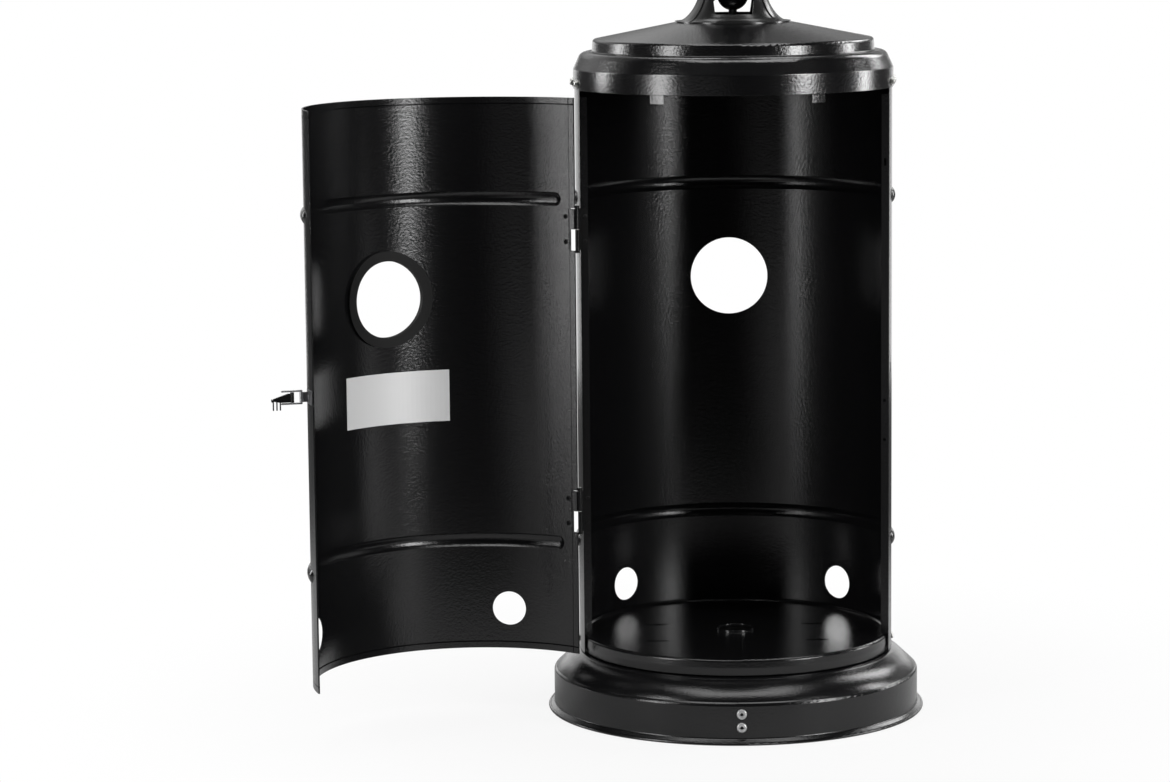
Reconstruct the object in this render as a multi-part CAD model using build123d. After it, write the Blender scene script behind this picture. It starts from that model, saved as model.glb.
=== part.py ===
from build123d import *
import os
from math import cos, degrees, radians, sin, tau

# Patio heater: a round pressed base, a cylindrical bottle housing with a hinged
# front door, a stepped cap, an openwork neck, a post, a gas burner head and a
# round reflector. Millimetres, +Z up, the origin on the floor at the housing's axis.
# The front faces -Y. An azimuth is an angle about Z from the front, positive
# towards +X. The door is modelled closed, then swung open about its hinge pins.

# Driving dimensions
HOUSING_R = 192.0
SHEET = 1.0
PRESSED_SHEET = 1.2
BASE_RIM_R = 231.0
SKIRT_R = 223.7
SKIRT_TOP_Z = 47.2
FLOOR_Z = 92.0
DOOR_LOW_Z = 74.8
DOOR_TOP_Z = 752.6
CAP_BAND_LOW_Z = 761.0
CAP_TOP_Z = 839.0
POST_R = 28.5
POST_TOP_Z = 1650.0
BURNER_R = 98.0
REFLECTOR_R = 406.0
DOOR_OPEN_ANGLE = 144.3

# Housing openings and beads
JAMB_RIGHT = 74.9
JAMB_LEFT = 284.75
DOOR_EDGE_HINGE = -74.9
DOOR_EDGE_FREE = 73.9
HINGE_AZIMUTH = -74.8
HINGE_PIN_RADIUS_OUT = 196.2
HINGE_HEIGHTS = (594.6, 251.0)
WINDOW_Z = 511.0
WINDOW_R = 48.6
DOOR_WINDOW_AZIMUTH = -1.2
VENT_Z = 124.4
VENT_R = 20.8
VENT_AZIMUTH = 44.7
DOOR_VENT_AZIMUTHS = (-46.3, 44.7)
BEAD_HEIGHTS = (630.0, 210.0)
BEAD_HALF_HEIGHT = 9.0
BEAD_DEPTH = 4.0
SHELL_LOW_Z = 73.9
SHELL_TOP_Z = 781.0


def at_azimuth(part, azimuth):
    """Turn a piece modelled at the front to its azimuth."""
    return Rot(0, 0, azimuth) * part


def ring(inner, outer, low, high, start=0.0, end=360.0):
    """A piece of a round wall between two radii, heights and azimuths."""
    section = Plane.XZ * Pos((inner + outer) / 2, (low + high) / 2) * Rectangle(outer - inner, high - low)
    return revolve(section, Axis.Z, end - start).rotate(Axis.Z, start - 90)


def spun_sheet(points, radii, thickness):
    """A pressed or spun sheet: one path through its middle, rounded, turned about Z."""
    path = FilletPolyline(*points, radius=radii)
    section = make_face(offset(path, amount=thickness / 2, side=Side.BOTH, kind=Kind.ARC))
    return revolve(Plane.XZ * section, Axis.Z, 360)


def radial_rod(radius, inner, outer, height, azimuth=0.0):
    """A round rod or drill along a radius, between two distances from the axis."""
    rod = Pos(0, -(inner + outer) / 2, height) * Rot(90, 0, 0) * Cylinder(radius, outer - inner)
    return at_azimuth(rod, azimuth)


def pan_head(radius, height, shank_radius, shank_length):
    """A screw along +Z: the rounded head stands on z=0 and the shank goes down."""
    head = Cylinder(radius, height, align=(Align.CENTER, Align.CENTER, Align.MIN))
    head = fillet(head.edges().sort_by(Axis.Z)[-1], height * 0.6)
    return head + Pos(0, 0, -shank_length / 2) * Cylinder(shank_radius, shank_length)


def cross_head(radius, height, shank_radius, shank_length):
    """A rounded screw head with a cross recess."""
    long = radius * 1.15
    short = radius * 0.26
    recess = Box(long, short, height) + Box(short, long, height)
    return pan_head(radius, height, shank_radius, shank_length) - Pos(0, 0, height) * recess


def radial_screw(screw, seat_radius, height, azimuth):
    """Stand a screw on a round wall, its head outwards."""
    return at_azimuth(Pos(0, -seat_radius, height) * Rot(90, 0, 0) * screw, azimuth)


def hex_nut(across_flats, height, bore):
    """A hexagonal nut standing on z=0."""
    body = extrude(RegularPolygon(across_flats / 2, 6, major_radius=False), height)
    return body - Pos(0, 0, height / 2) * Cylinder(bore, height + 2)


def bead(height, start, end, wall_outer):
    """The outward bead of a sheet wall, with round ends, and the groove behind it."""
    ridge_r = (BEAD_HALF_HEIGHT ** 2 + BEAD_DEPTH ** 2) / (2 * BEAD_DEPTH)
    groove_r = ridge_r - SHEET
    centre_r = wall_outer + BEAD_DEPTH - ridge_r
    ridge = Plane.XZ * Pos(centre_r, height) * Circle(ridge_r)
    groove = Plane.XZ * Pos(centre_r, height) * Circle(groove_r)
    ridge_ring = revolve(ridge, Axis.Z, end - start).rotate(Axis.Z, start - 90)
    groove_ring = revolve(groove, Axis.Z, end - start).rotate(Axis.Z, start - 90)
    for azimuth in (start, end):
        middle = at_azimuth(Pos(0, -centre_r, height), azimuth)
        ridge_ring = ridge_ring + middle * Sphere(ridge_r)
        groove_ring = groove_ring + middle * Sphere(groove_r)
    low = height - BEAD_HALF_HEIGHT - 1
    high = height + BEAD_HALF_HEIGHT + 1
    band = ring(wall_outer - SHEET / 2, wall_outer + BEAD_DEPTH + 1, low, high, start - 3.2, end + 3.2)
    return ridge_ring & band, groove_ring


# Base: rolled rim, upright skirt, round shoulder and an upstand under the floor pan
UPSTAND_R = 184.1
DOME_TOP_Z = 72.6
SKIRT_SCREW_HEIGHTS = (36.5, 20.5)
SKIRT_SCREW_HOLE_R = 3.2
SKIRT_MID_R = SKIRT_R - PRESSED_SHEET / 2


def make_base_shell():
    rim_mid_z = 1.6
    path = (
        (UPSTAND_R, FLOOR_Z - PRESSED_SHEET),
        (UPSTAND_R, DOME_TOP_Z),
        (192.5, DOME_TOP_Z),
        (202.6, 66.2),
        (SKIRT_MID_R, SKIRT_TOP_Z),
        (SKIRT_MID_R, 6.5),
        (BASE_RIM_R - 1.4, rim_mid_z),
    )
    shell = spun_sheet(path, [2.0, 8.0, 14.0, 4.0, 3.0], PRESSED_SHEET)
    shell = shell - ring(UPSTAND_R - 3, UPSTAND_R + 3, FLOOR_Z - PRESSED_SHEET, FLOOR_Z + 4)
    rim_roll = Torus(BASE_RIM_R - 2.0, 2.0) - Pos(0, 0, -10 - rim_mid_z) * Cylinder(BASE_RIM_R + 5, 20)
    shell = shell + Pos(0, 0, rim_mid_z) * rim_roll
    for azimuth in (0, 180):
        for height in SKIRT_SCREW_HEIGHTS:
            shell = shell - radial_rod(SKIRT_SCREW_HOLE_R, SKIRT_R - 6, SKIRT_R + 6, height, azimuth)
    return shell


# Floor pan: the bottle stands on it, and its rounded collar centres the housing
COLLAR_R = 189.7
PAN_HOLE_R = 22.0
PAN_SLOT = (28.0, 6.0)
PAN_SLOT_CENTRES = ((-97, -65), (97, -65), (-97, 32), (97, 32))
SHELL_SCREW_AZIMUTHS = (88.0, 140.0, 220.0, 272.0)
SHELL_SCREW_Z = 85.0


def make_floor_pan():
    half = PRESSED_SHEET / 2
    path = (
        (PAN_HOLE_R, FLOOR_Z - half + 3),
        (PAN_HOLE_R, FLOOR_Z - half),
        (182.5, FLOOR_Z - half),
        (184.6, FLOOR_Z + 1.8),
        (COLLAR_R - half - 0.4, FLOOR_Z + 1.2),
        (COLLAR_R - half, 84.0),
        (COLLAR_R - half - 1.0, 75.4),
    )
    pan = spun_sheet(path, [1.2, 1.0, 1.0, 2.6, 12.0], PRESSED_SHEET)
    for azimuth in SHELL_SCREW_AZIMUTHS:
        pad = ring(COLLAR_R - 0.6, HOUSING_R - SHEET - 0.03, 80.0, 90.0, azimuth - 2.5, azimuth + 2.5)
        pan = pan + pad
    slot = extrude(SlotOverall(*PAN_SLOT), 10)
    for x, y in PAN_SLOT_CENTRES:
        pan = pan - Pos(x, y, FLOOR_Z - 5) * slot
    for azimuth in SHELL_SCREW_AZIMUTHS:
        pan = pan - radial_rod(2.1, COLLAR_R - 6, COLLAR_R + 3, SHELL_SCREW_Z, azimuth)
    return pan


# Support bar: a bent flat bar under the floor that takes the bottle's weight
BAR_THICKNESS = 3.0
BAR_WIDTH = 40.0


def make_floor_support_bar():
    half = BAR_THICKNESS / 2
    top = FLOOR_Z - PRESSED_SHEET - half
    inside_skirt = SKIRT_R - PRESSED_SHEET - half - 0.9
    side = [(inside_skirt, 12.0), (inside_skirt, 45.0), (178.0, 69.0), (178.0, top)]
    path = FilletPolyline(*side, *[(-x, z) for x, z in reversed(side)], radius=[4, 10, 5, 5, 10, 4])
    strip = make_face(offset(path, amount=half, side=Side.BOTH, kind=Kind.ARC))
    bar = extrude(Plane.YZ * strip, BAR_WIDTH / 2, both=True)
    for azimuth in (0, 180):
        for height in SKIRT_SCREW_HEIGHTS:
            bar = bar - radial_rod(SKIRT_SCREW_HOLE_R, SKIRT_R - 8, SKIRT_R, height, azimuth)
    return bar - Pos(0, 0, FLOOR_Z - 10) * Cylinder(PAN_HOLE_R - 4, 30)


def make_skirt_screws():
    screw = cross_head(6.2, 3.6, 3.0, 12.0)
    places = [(height, azimuth) for azimuth in (0, 180) for height in SKIRT_SCREW_HEIGHTS]
    return [radial_screw(screw, SKIRT_R, height, azimuth) for height, azimuth in places]


def make_skirt_nuts():
    bar_inner = SKIRT_R - PRESSED_SHEET - BAR_THICKNESS - 0.9
    nut = Pos(0, 0, -4.0) * hex_nut(9.0, 4.0, 3.05)
    places = [(height, azimuth) for azimuth in (0, 180) for height in SKIRT_SCREW_HEIGHTS]
    return [radial_screw(nut, bar_inner, height, azimuth) for height, azimuth in places]


# Rear shell: two thirds of the round housing, with folded jambs, beads and holes
JAMB_LIP = 8.5
JAMB_RETURN = 2.1
JAMB_LOW_Z = 95.5
JAMB_TOP_Z = 753.0
LATCH_Z = 422.0
KEEPER_AZIMUTH = 78.6
LIP_ANGLE = degrees(SHEET / (HOUSING_R - 5))
CAP_SCREW_AZIMUTHS = (77.0, 91.0, 180.0, 269.0, 283.0)
CAP_SCREW_Z = 768.5


def jamb(edge, side):
    """The folded jamb at one edge of the shell: a lip inwards and a short return."""
    inner = HOUSING_R - SHEET - JAMB_LIP
    lip_span = sorted((edge, edge + side * LIP_ANGLE))
    return_span = sorted((edge + side * LIP_ANGLE, edge + side * (LIP_ANGLE + JAMB_RETURN)))
    lip = ring(inner, HOUSING_R - SHEET, JAMB_LOW_Z, JAMB_TOP_Z, *lip_span)
    return lip + ring(inner, inner + SHEET, JAMB_LOW_Z, JAMB_TOP_Z, *return_span)


def make_rear_shell():
    shell = ring(HOUSING_R - SHEET, HOUSING_R, SHELL_LOW_Z, SHELL_TOP_Z, JAMB_RIGHT, JAMB_LEFT)
    for height in BEAD_HEIGHTS:
        ridge, groove = bead(height, JAMB_RIGHT + 9.5, JAMB_LEFT - 9.5, HOUSING_R)
        shell = shell + ridge - groove
    shell = shell + jamb(JAMB_RIGHT, 1) + jamb(JAMB_LEFT, -1)
    shell = shell - radial_rod(WINDOW_R, HOUSING_R - 20, HOUSING_R + 10, WINDOW_Z, 180)
    for side in (-1, 1):
        vent = radial_rod(VENT_R, HOUSING_R - 20, HOUSING_R + 10, VENT_Z, 180 + side * VENT_AZIMUTH)
        shell = shell - vent
    for azimuth in SHELL_SCREW_AZIMUTHS:
        shell = shell - radial_rod(2.1, HOUSING_R - 6, HOUSING_R + 6, SHELL_SCREW_Z, azimuth)
    for azimuth in CAP_SCREW_AZIMUTHS:
        shell = shell - radial_rod(2.1, HOUSING_R - 6, HOUSING_R + 6, CAP_SCREW_Z, azimuth)
    keeper_slot = Pos(0, -HOUSING_R, LATCH_Z) * Box(3.6, 12, 12)
    shell = shell - at_azimuth(keeper_slot, KEEPER_AZIMUTH)
    lip_slot = Pos(0, -(HOUSING_R - 5), 672.0) * Box(8, 3, 9)
    shell = shell - at_azimuth(lip_slot, JAMB_RIGHT + LIP_ANGLE / 2)
    for height in (383.0, 335.0):
        drill = Pos(0, -(HOUSING_R - 5.5), height) * Rot(0, 90, 0) * Cylinder(1.8, 8)
        shell = shell - at_azimuth(drill, JAMB_RIGHT + LIP_ANGLE / 2)
    for hinge_z in HINGE_HEIGHTS:
        for offset_z in HINGE_RIVET_OFFSETS:
            shell = shell - jamb_rivet_drill(hinge_z + offset_z)
    return shell


def make_shell_screws():
    screw = cross_head(3.9, 2.4, 2.0, 7.0)
    return [radial_screw(screw, HOUSING_R, SHELL_SCREW_Z, azimuth) for azimuth in SHELL_SCREW_AZIMUTHS]


# Lift-off hinges: a pin fixed in the jamb's knuckle, the door's knuckle above it
HINGE_PIN_R = 1.6
KNUCKLE_R = 2.8
KNUCKLE_OVERHANG = 3.5
HINGE_GAP = 0.6
LEAF = 1.1
LEAF_HEIGHT = 50.0
HINGE_RIVET_OFFSETS = (15.2, -15.2)
DOOR_RIVET_AZIMUTH = -71.0
NOTCH_ANGLE = 1.9
HEM = 0.9
JAMB_FACE_X = -(HOUSING_R - 9) * radians(HINGE_AZIMUTH - (JAMB_LEFT - 360))


def hinge_point():
    angle = radians(HINGE_AZIMUTH)
    return HINGE_PIN_RADIUS_OUT * sin(angle), -HINGE_PIN_RADIUS_OUT * cos(angle)


def hinge_knuckle(low, high):
    """A knuckle at the front, bored for the pin."""
    middle = (low + high) / 2
    outer = Cylinder(KNUCKLE_R, high - low)
    bore = Cylinder(HINGE_PIN_R + 0.05, high - low + 2)
    return Pos(0, -HINGE_PIN_RADIUS_OUT, middle) * (outer - bore)


def jamb_leaf(hinge_z):
    """The leaf on the jamb's lip, with the lower knuckle."""
    leaf_inner = HOUSING_R - SHEET - JAMB_LIP + 0.4
    leaf_outer = HINGE_PIN_RADIUS_OUT - 2.4
    middle = -(leaf_inner + leaf_outer) / 2
    plate = Pos(JAMB_FACE_X + LEAF / 2, middle, hinge_z) * Box(LEAF, leaf_outer - leaf_inner, LEAF_HEIGHT)
    low = hinge_z - LEAF_HEIGHT / 2
    clear = Pos(0, -HINGE_PIN_RADIUS_OUT, hinge_z) * Cylinder(KNUCKLE_R + 0.5, LEAF_HEIGHT + 2)
    knuckle = hinge_knuckle(low - KNUCKLE_OVERHANG, hinge_z - HINGE_GAP)
    web_height = LEAF_HEIGHT / 2 - HINGE_GAP
    web = Pos(JAMB_FACE_X + LEAF / 2, -(leaf_outer + 0.6), low + web_height / 2) * Box(LEAF, 3.0, web_height)
    bore = Pos(0, -HINGE_PIN_RADIUS_OUT, hinge_z) * Cylinder(HINGE_PIN_R + 0.05, 80)
    return at_azimuth(plate - clear + knuckle + web - bore, HINGE_AZIMUTH)


def jamb_rivet_drill(height):
    inner = HOUSING_R - SHEET - JAMB_LIP / 2
    drill = Pos(0, -inner, height) * Rot(0, 90, 0) * Cylinder(1.65, 12)
    return at_azimuth(drill, HINGE_AZIMUTH)


def make_jamb_hinge_leaves():
    leaves = []
    for hinge_z in HINGE_HEIGHTS:
        leaf = jamb_leaf(hinge_z)
        for offset_z in HINGE_RIVET_OFFSETS:
            leaf = leaf - jamb_rivet_drill(hinge_z + offset_z)
        leaves.append(leaf)
    return leaves


def make_jamb_rivets():
    """Round-head rivets through the jamb's lip and the leaf."""
    inner = HOUSING_R - SHEET - JAMB_LIP / 2
    rivets = []
    for hinge_z in HINGE_HEIGHTS:
        for offset_z in HINGE_RIVET_OFFSETS:
            rivet = pan_head(2.6, 1.2, 1.6, 2.6)
            placed = Pos(JAMB_FACE_X + LEAF, -inner, hinge_z + offset_z) * Rot(0, 90, 0) * rivet
            rivets.append(at_azimuth(placed, HINGE_AZIMUTH))
    return rivets


def make_hinge_pins():
    x, y = hinge_point()
    pins = []
    for hinge_z in HINGE_HEIGHTS:
        pins.append(Pos(x, y, hinge_z) * Cylinder(HINGE_PIN_R, LEAF_HEIGHT + 2 * KNUCKLE_OVERHANG + 1))
    return pins


def make_door_hinge_leaves():
    """Leaves riveted inside the door, each with the upper knuckle."""
    leaves = []
    skin_inner = HOUSING_R - SHEET
    for hinge_z in HINGE_HEIGHTS:
        high = hinge_z + LEAF_HEIGHT / 2
        low = hinge_z - LEAF_HEIGHT / 2
        flat = ring(skin_inner - LEAF, skin_inner, low, high, HINGE_AZIMUTH + NOTCH_ANGLE - 0.1, HINGE_AZIMUTH + 6.2)
        neck_high = high
        neck_low = hinge_z
        neck = ring(skin_inner - LEAF, HINGE_PIN_RADIUS_OUT - 1.5, neck_low, neck_high,
                    HINGE_AZIMUTH + 0.08, HINGE_AZIMUTH + 0.40)
        foot = ring(skin_inner - LEAF, skin_inner, neck_low, neck_high, HINGE_AZIMUTH + 0.08, HINGE_AZIMUTH + 2.0)
        knuckle = at_azimuth(hinge_knuckle(neck_low, neck_high + KNUCKLE_OVERHANG), HINGE_AZIMUTH)
        x, y = hinge_point()
        bore = Pos(x, y, hinge_z) * Cylinder(HINGE_PIN_R + 0.05, 80)
        leaf = flat + foot + neck + knuckle - bore
        for offset_z in HINGE_RIVET_OFFSETS:
            leaf = leaf - radial_rod(1.65, skin_inner - 6, skin_inner + 6, hinge_z + offset_z, DOOR_RIVET_AZIMUTH)
        leaves.append(swing(leaf))
    return leaves


def make_door_rivets():
    """Rivets with their round heads inside the door and a low head outside."""
    rivets = []
    seat = HOUSING_R - SHEET - LEAF - 0.03
    for hinge_z in HINGE_HEIGHTS:
        for offset_z in HINGE_RIVET_OFFSETS:
            rivet = pan_head(3.0, 1.3, 1.6, LEAF + SHEET)
            placed = Pos(0, -seat, hinge_z + offset_z) * Rot(-90, 0, 0) * rivet
            rivets.append(swing(at_azimuth(placed, DOOR_RIVET_AZIMUTH)))
    return rivets


def swing(part):
    """Swing a piece of the closed door to where it stands open."""
    x, y = hinge_point()
    return part.rotate(Axis((x, y, 0), (0, 0, 1)), -DOOR_OPEN_ANGLE)


# Door: a third of the housing's round wall, hemmed on all four edges
HEM_HEIGHT = 8.0
HEM_ANGLE = 2.45
DOOR_BEAD_START = -66.0
DOOR_BEAD_END = 66.6


def make_door_shell():
    inner = HOUSING_R - SHEET
    door = ring(inner, HOUSING_R, DOOR_LOW_Z, DOOR_TOP_Z, DOOR_EDGE_HINGE, DOOR_EDGE_FREE)
    for low in (DOOR_LOW_Z, DOOR_TOP_Z - HEM_HEIGHT):
        door = door + ring(inner - HEM, inner, low, low + HEM_HEIGHT, DOOR_EDGE_HINGE, DOOR_EDGE_FREE)
    door = door + ring(inner - HEM, inner, DOOR_LOW_Z, DOOR_TOP_Z, DOOR_EDGE_FREE - HEM_ANGLE, DOOR_EDGE_FREE)
    door = door + ring(inner - HEM, inner, DOOR_LOW_Z, DOOR_TOP_Z, DOOR_EDGE_HINGE, DOOR_EDGE_HINGE + HEM_ANGLE)
    for hinge_z in HINGE_HEIGHTS:
        low = hinge_z - LEAF_HEIGHT / 2 - 0.6
        high = hinge_z + LEAF_HEIGHT / 2 + 0.6
        door = door - ring(inner - 5, HOUSING_R + 5, low, high, HINGE_AZIMUTH - 1, HINGE_AZIMUTH + NOTCH_ANGLE)
        door = door - ring(inner - 5, inner, low, high, HINGE_AZIMUTH - 1, HINGE_AZIMUTH + 6.4)
    for height in BEAD_HEIGHTS:
        ridge, groove = bead(height, DOOR_BEAD_START, DOOR_BEAD_END, HOUSING_R)
        door = door + ridge - groove
    door = door - radial_rod(WINDOW_R, HOUSING_R - 20, HOUSING_R + 10, WINDOW_Z, DOOR_WINDOW_AZIMUTH)
    for azimuth in DOOR_VENT_AZIMUTHS:
        door = door - radial_rod(VENT_R, HOUSING_R - 20, HOUSING_R + 10, VENT_Z, azimuth)
    for hinge_z in HINGE_HEIGHTS:
        for offset_z in HINGE_RIVET_OFFSETS:
            hole = radial_rod(1.65, inner - 3, HOUSING_R + 3, hinge_z + offset_z, DOOR_RIVET_AZIMUTH)
            door = door - hole
    for azimuth in LATCH_RIVET_AZIMUTHS:
        door = door - radial_rod(1.65, inner - 3, HOUSING_R + 3, LATCH_Z, azimuth)
    return swing(door)


TRIM_OUTER_R = 58.5
TRIM_INNER_R = 46.4


def make_window_trim():
    """The rubber edging of the door's hand hole: two flanges and a throat."""
    throat_r = WINDOW_R - 0.1
    inner_flange = radial_rod(TRIM_OUTER_R, 150, 220, WINDOW_Z) & ring(187.8, HOUSING_R - SHEET, 430, 590, -30, 30)
    outer_flange = radial_rod(WINDOW_R + 4.5, 150, 220, WINDOW_Z) & ring(HOUSING_R, 193.8, 430, 590, -30, 30)
    throat = radial_rod(throat_r, 150, 220, WINDOW_Z) & ring(187.8, 193.8, 430, 590, -30, 30)
    trim = inner_flange + outer_flange + throat - radial_rod(TRIM_INNER_R, 150, 220, WINDOW_Z)
    return swing(at_azimuth(trim, DOOR_WINDOW_AZIMUTH))


# Latch at the door's free edge, thrown open: a wire bail and a lever with a claw
LATCH_AZIMUTH = 69.75
LATCH_PLATE_HALF = 3.9
LATCH_PLATE_HEIGHT = 16.0
LATCH_PLATE = 1.5
LATCH_RIVET_AZIMUTHS = (67.0, 69.8)
BAIL_X = -4.0
BAIL_INNER_Y = -201.0
BAIL_OUTER_Y = -212.0
BAIL_HALF_WIDTH = 7.3
BAIL_WIRE_R = 1.1
BARREL_R = 2.3
BARREL_LENGTH = 11.6
BAIL_END_Y = -224.0
LEVER_THICKNESS = 2.6
LEVER_OUTLINE = ((-212.0, 4.6), (-217.0, 4.6), (-234.0, -1.0), (-236.0, -3.6), (-226.0, -5.6),
                 (-212.0, -5.6))
PRONG_PLACES = (-226.0, -230.0, -234.2)
PRONG_R = 0.8
PRONG_LOW_Z = -14.0
CLAW_LENGTH = 7.0


def latch_place(part):
    """Move a latch piece from the front to its place on the open door."""
    return swing(at_azimuth(Pos(0, 0, LATCH_Z) * part, LATCH_AZIMUTH))


def make_latch_base():
    """The latch's plate on the door, with the barrel that holds the bail."""
    span = (-LATCH_PLATE_HALF, LATCH_PLATE_HALF)
    half = LATCH_PLATE_HEIGHT / 2
    base = ring(HOUSING_R, HOUSING_R + LATCH_PLATE, -half, half, *span)
    web_outer = -BAIL_INNER_Y - BARREL_R + 0.6
    web_middle = -(HOUSING_R + 1 + web_outer) / 2
    base = base + Pos(BAIL_X, web_middle) * Box(1.5, web_outer - HOUSING_R - 1, BARREL_LENGTH)
    base = base + Pos(BAIL_X, BAIL_INNER_Y) * Cylinder(BARREL_R, BARREL_LENGTH)
    base = base - Pos(BAIL_X, BAIL_INNER_Y) * Cylinder(BAIL_WIRE_R + 0.05, 40)
    for azimuth in LATCH_RIVET_AZIMUTHS:
        base = base - radial_rod(1.65, HOUSING_R - 3, HOUSING_R + 6, 0, azimuth - LATCH_AZIMUTH)
    return latch_place(base)


def make_latch_rivets():
    rivet = pan_head(2.8, 1.1, 1.6, LATCH_PLATE + SHEET)
    seat = HOUSING_R + LATCH_PLATE
    return [swing(radial_screw(rivet, seat, LATCH_Z, azimuth)) for azimuth in LATCH_RIVET_AZIMUTHS]


def make_latch_bail():
    """Two side wires joined by two cross wires: one turns in the base, the lever on the other."""
    middle_y = (BAIL_INNER_Y + BAIL_END_Y) / 2
    bail = Part()
    bail = bail + Pos(BAIL_X, BAIL_INNER_Y) * Cylinder(BAIL_WIRE_R, 2 * BAIL_HALF_WIDTH)
    bail = bail + Pos(BAIL_X, BAIL_OUTER_Y) * Cylinder(BAIL_WIRE_R - 0.05, 2 * BAIL_HALF_WIDTH)
    for side in (-1, 1):
        arm = Rot(90, 0, 0) * Cylinder(BAIL_WIRE_R, BAIL_INNER_Y - BAIL_END_Y)
        bail = bail + Pos(BAIL_X, middle_y, side * BAIL_HALF_WIDTH) * arm
        for corner_y in (BAIL_INNER_Y, BAIL_END_Y):
            bail = bail + Pos(BAIL_X, corner_y, side * BAIL_HALF_WIDTH) * Sphere(BAIL_WIRE_R)
    return latch_place(bail)


def make_latch_lever():
    """The lever: a barrel on the bail, a tapering blade, a claw and three hanging prongs."""
    outline = make_face(Polyline(*LEVER_OUTLINE, close=True))
    lever = Pos(BAIL_X, 0) * extrude(Plane.YZ * outline, LEVER_THICKNESS / 2, both=True)
    lever = lever + Pos(BAIL_X, BAIL_OUTER_Y) * Cylinder(BARREL_R, BARREL_LENGTH)
    tip_y, tip_z = LEVER_OUTLINE[3]
    lever = lever + Pos(BAIL_X + CLAW_LENGTH / 2, tip_y, tip_z + 0.9) * Box(CLAW_LENGTH, 1.4, 3.0)
    for prong_y in PRONG_PLACES:
        prong = Cylinder(PRONG_R, -4.0 - PRONG_LOW_Z, align=(Align.CENTER, Align.CENTER, Align.MIN))
        lever = lever + Pos(BAIL_X, prong_y, PRONG_LOW_Z) * (prong + Sphere(PRONG_R))
    return latch_place(lever - Pos(BAIL_X, BAIL_OUTER_Y) * Cylinder(BAIL_WIRE_R + 0.05, 40))


# Cap: a band round the housing's top, a shoulder, an upper ring and a low cone
CAP_BAND_MID_R = 192.9
TAB_AZIMUTHS = (-30.0, 30.0)


def make_cap():
    half = PRESSED_SHEET / 2
    path = (
        (CAP_BAND_MID_R, CAP_BAND_LOW_Z + half),
        (CAP_BAND_MID_R, 784.5),
        (184.0, 804.2),
        (170.1, 804.9),
        (169.2, 819.2),
        (72.0, CAP_TOP_Z - half),
        (20.6, CAP_TOP_Z - half),
    )
    cap = spun_sheet(path, [2.5, 10.0, 1.6, 3.5, 6.0], PRESSED_SHEET)
    tab_r = HOUSING_R - 3.2
    for azimuth in TAB_AZIMUTHS:
        span = (azimuth - 2.75, azimuth + 2.75)
        shelf = ring(tab_r, CAP_BAND_MID_R - half, 762.0, 763.2, *span)
        cap = cap + shelf + ring(tab_r - 1.2, tab_r, 750.6, 763.2, *span)
    for azimuth in CAP_SCREW_AZIMUTHS:
        cap = cap - radial_rod(2.1, HOUSING_R - 3, HOUSING_R + 6, CAP_SCREW_Z, azimuth)
    for azimuth in NECK_BOLT_AZIMUTHS:
        cap = cap - at_azimuth(Pos(0, -NECK_BOLT_R, CAP_TOP_Z) * Cylinder(2.7, 20), azimuth)
    return cap


CAP_WASHER = 1.0
CAP_OUTER_R = CAP_BAND_MID_R + PRESSED_SHEET / 2


def make_cap_screws():
    screw = cross_head(4.0, 3.0, 2.0, 8.0)
    seat = CAP_OUTER_R + CAP_WASHER
    return [radial_screw(screw, seat, CAP_SCREW_Z, azimuth) for azimuth in CAP_SCREW_AZIMUTHS]


def make_cap_washers():
    washer = Pos(0, 0, CAP_WASHER / 2) * (Cylinder(5.6, CAP_WASHER) - Cylinder(2.05, 4))
    return [radial_screw(washer, CAP_OUTER_R, CAP_SCREW_Z, azimuth) for azimuth in CAP_SCREW_AZIMUTHS]


# Neck: a flared openwork casting that carries the post
NECK_FOOT_R = 70.0
NECK_TOP_Z = 914.0
NECK_TOP_R = 33.0
POST_SEAT_Z = 892.0
NECK_BOLT_R = 60.0
NECK_BOLT_AZIMUTHS = (45.0, 135.0, 225.0, 315.0)
POST_SCREW_Z = 905.0
POST_SCREW_AZIMUTHS = (90.0, 210.0, 330.0)
RIB_AZIMUTHS = (-58.0, 58.0, 122.0, 238.0)


def neck_curve(shift):
    """The flare's side, moved in by a wall thickness."""
    return Spline(
        (65.0 - shift, 840.9),
        (54.0 - shift, 847.6),
        (44.4 - shift, 862.0),
        (37.4 - shift, 879.0),
        (NECK_TOP_R - shift, 898.0),
        tangents=[(-1, 0.22), (0, 1)],
    )


def neck_body(shift, base_r):
    curve = neck_curve(shift)
    foot = (base_r, CAP_TOP_Z)
    start = curve @ 0
    end = curve @ 1
    outline = Polyline(
        (end.X, end.Y), (end.X, NECK_TOP_Z), (0, NECK_TOP_Z), (0, CAP_TOP_Z), foot,
        (base_r, CAP_TOP_Z + 1.9), (start.X, start.Y),
    )
    return revolve(Plane.XZ * make_face(curve + outline), Axis.Z, 360)


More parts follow.
